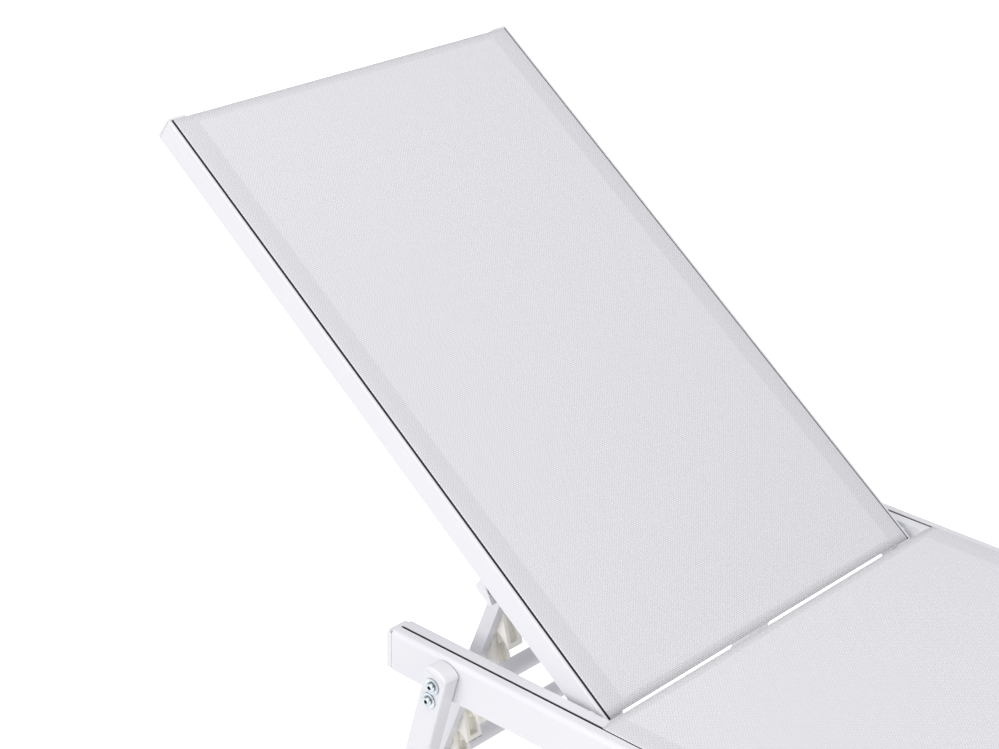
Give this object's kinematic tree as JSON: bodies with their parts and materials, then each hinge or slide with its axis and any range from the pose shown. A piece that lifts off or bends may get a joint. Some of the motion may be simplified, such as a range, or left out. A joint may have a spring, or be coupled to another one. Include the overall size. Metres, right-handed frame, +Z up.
{
  "type": "reclining sun lounger",
  "caption": "Aluminium sun lounger with taut mesh slings, splayed legs, and a backrest that reclines on toothed support racks over a latch bar.",
  "frame": {"origin": "middle of the bottom face of the lounger's own box at rest, on the ground", "axes": "+Y towards the head, +Z up, +X towards the left hand of a person lying on it"},
  "size_m": [0.6518, 1.8126, 0.7838],
  "materials": {
    "white_powder_coat": "satin white powder coat on aluminium, very fine orange-peel grain",
    "white_plastic": "moulded white nylon, slightly softer sheen than the paint",
    "ivory_plastic": "moulded creamy-white nylon",
    "zinc_fastener": "zinc-plated steel",
    "mesh_fabric": "taut PVC-coated polyester mesh, pale grey-white, 2 mm weave"
  },
  "bodies": {
    "frame": {"foot_foot_left": "white_plastic", "foot_foot_right": "white_plastic", "foot_head_left": "white_plastic", "foot_head_right": "white_plastic", "latch_bar": "white_powder_coat", "leg_cap_foot_left": "white_plastic", "leg_cap_foot_right": "white_plastic", "leg_cap_head_left": "white_plastic", "leg_cap_head_right": "white_plastic", "leg_foot_left": "white_powder_coat", "leg_foot_right": "white_powder_coat", "leg_head_left": "white_powder_coat", "leg_head_right": "white_powder_coat", "leg_screw_foot_left_1": "zinc_fastener", "leg_screw_foot_left_2": "zinc_fastener", "leg_screw_foot_right_1": "zinc_fastener", "leg_screw_foot_right_2": "zinc_fastener", "leg_screw_head_left_1": "zinc_fastener", "leg_screw_head_left_2": "zinc_fastener", "leg_screw_head_right_1": "zinc_fastener", "leg_screw_head_right_2": "zinc_fastener", "leg_washer_foot_left_1": "zinc_fastener", "leg_washer_foot_left_2": "zinc_fastener", "leg_washer_foot_right_1": "zinc_fastener", "leg_washer_foot_right_2": "zinc_fastener", "leg_washer_head_left_1": "zinc_fastener", "leg_washer_head_left_2": "zinc_fastener", "leg_washer_head_right_1": "zinc_fastener", "leg_washer_head_right_2": "zinc_fastener", "pivot_bolt_left": "zinc_fastener", "pivot_bolt_right": "zinc_fastener", "pivot_spacer_left": "white_plastic", "pivot_spacer_right": "white_plastic", "rail_cap_foot_left": "white_plastic", "rail_cap_foot_right": "white_plastic", "rail_cap_head_left": "white_plastic", "rail_cap_head_right": "white_plastic", "seat_cross_tube_foot": "white_powder_coat", "seat_cross_tube_middle": "white_powder_coat", "seat_sling": "mesh_fabric", "side_rail_left": "white_powder_coat", "side_rail_right": "white_powder_coat"},
    "backrest": {"backrest_cap_head_left": "white_plastic", "backrest_cap_head_right": "white_plastic", "backrest_cap_low_left": "white_plastic", "backrest_cap_low_right": "white_plastic", "backrest_cross_tube_high": "white_powder_coat", "backrest_cross_tube_low": "white_powder_coat", "backrest_rail_left": "white_powder_coat", "backrest_rail_right": "white_powder_coat", "backrest_sling": "mesh_fabric", "hinge_bracket_left": "white_powder_coat", "hinge_bracket_right": "white_powder_coat", "hinge_pin_left": "zinc_fastener", "hinge_pin_right": "zinc_fastener"},
    "support_arms": {"rack_left": "ivory_plastic", "rack_right": "ivory_plastic", "support_arm_left": "white_powder_coat", "support_arm_right": "white_powder_coat", "tie_tube": "white_powder_coat"}
  },
  "joints": [
    {"name": "backrest_recline", "type": "hinge", "parent": "frame", "child": "backrest", "pos_m": [0, 0.27502, 0.318], "axis": [1, 0, 0], "range_deg": [-33, 34]},
    {"name": "support_arm_swing", "type": "hinge", "parent": "backrest", "child": "support_arms", "pos_m": [0, 0.4231, 0.39678], "axis": [1, 0, 0], "range_deg": [-21.5, 20.8]}
  ],
  "couplings": [
    {"joint": "support_arm_swing", "follows": "backrest_recline", "ratio": -0.62}
  ]
}
